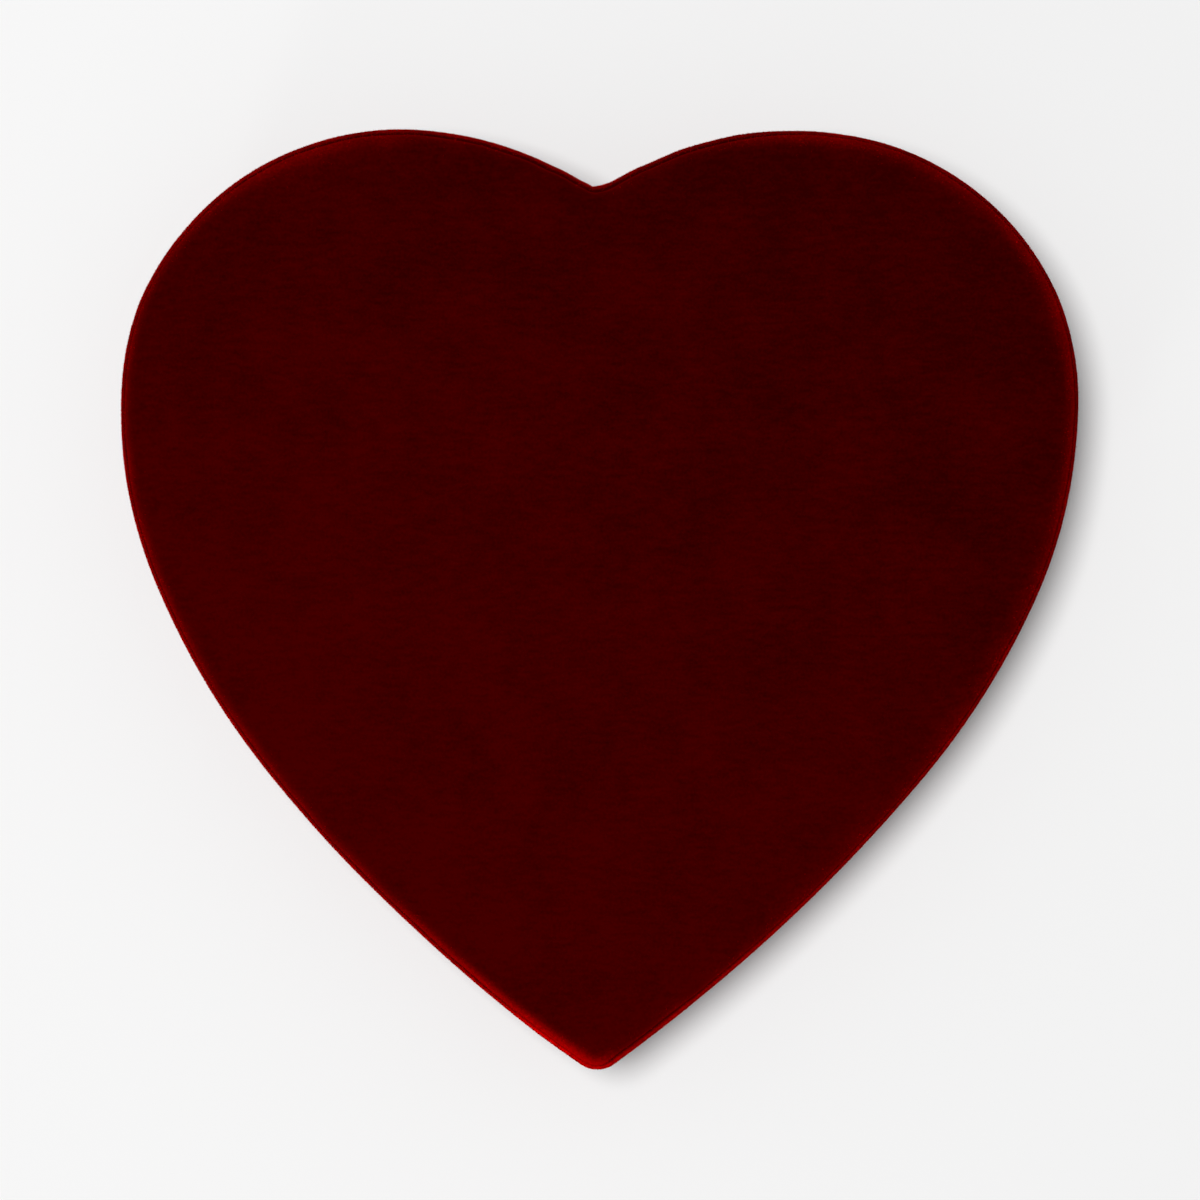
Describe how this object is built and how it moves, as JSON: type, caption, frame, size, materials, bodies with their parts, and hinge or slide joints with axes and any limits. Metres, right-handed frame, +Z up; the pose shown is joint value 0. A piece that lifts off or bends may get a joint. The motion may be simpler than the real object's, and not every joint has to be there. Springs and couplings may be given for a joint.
{
  "type": "valentine heart box",
  "caption": "Heart-shaped velvet gift box with a padded lift-off lid over a paper-covered card base, holding a formed candy tray under a cushion pad.",
  "frame": {"origin": "under the middle of the heart's outline, on the surface that the box stands on", "axes": "+Z up through the lid, +X across the two lobes, and the tip of the heart towards -Y"},
  "size_m": [0.23, 0.2256, 0.0388],
  "materials": {
    "velvet": "matte",
    "foam": "matte",
    "card": "matte",
    "stay_paper": "matte",
    "lining_paper": "matte",
    "pad_paper": "satin",
    "wadding": "matte",
    "tray_plastic": "satin",
    "wrap_paper": "satin"
  },
  "bodies": {
    "base": {"base_bottom_board": "card", "base_wall_board": "card", "base_cleft_stay": "stay_paper", "base_wall_wrap": "wrap_paper", "base_bottom_sheet": "wrap_paper"},
    "tray": {"candy_tray": "tray_plastic"},
    "pad": {"pad_top_sheet": "pad_paper", "pad_wadding": "wadding", "pad_bottom_sheet": "pad_paper"},
    "lid": {"panel_velvet": "velvet", "panel_foam": "foam", "panel_board": "card", "lid_top_board": "card", "lid_wall_board": "card", "lid_wall_velvet": "velvet", "lid_cleft_stay": "stay_paper", "lid_top_lining": "lining_paper"}
  },
  "joints": [
    {"name": "tray_lift", "type": "slide", "parent": "base", "child": "tray", "axis": [0, 0, 1], "range_m": [0, 0.06]},
    {"name": "pad_lift", "type": "slide", "parent": "tray", "child": "pad", "axis": [0, 0, 1], "range_m": [0, 0.06]},
    {"name": "lid_lift", "type": "slide", "parent": "pad", "child": "lid", "axis": [0, 0, 1], "range_m": [0, 0.09]}
  ]
}
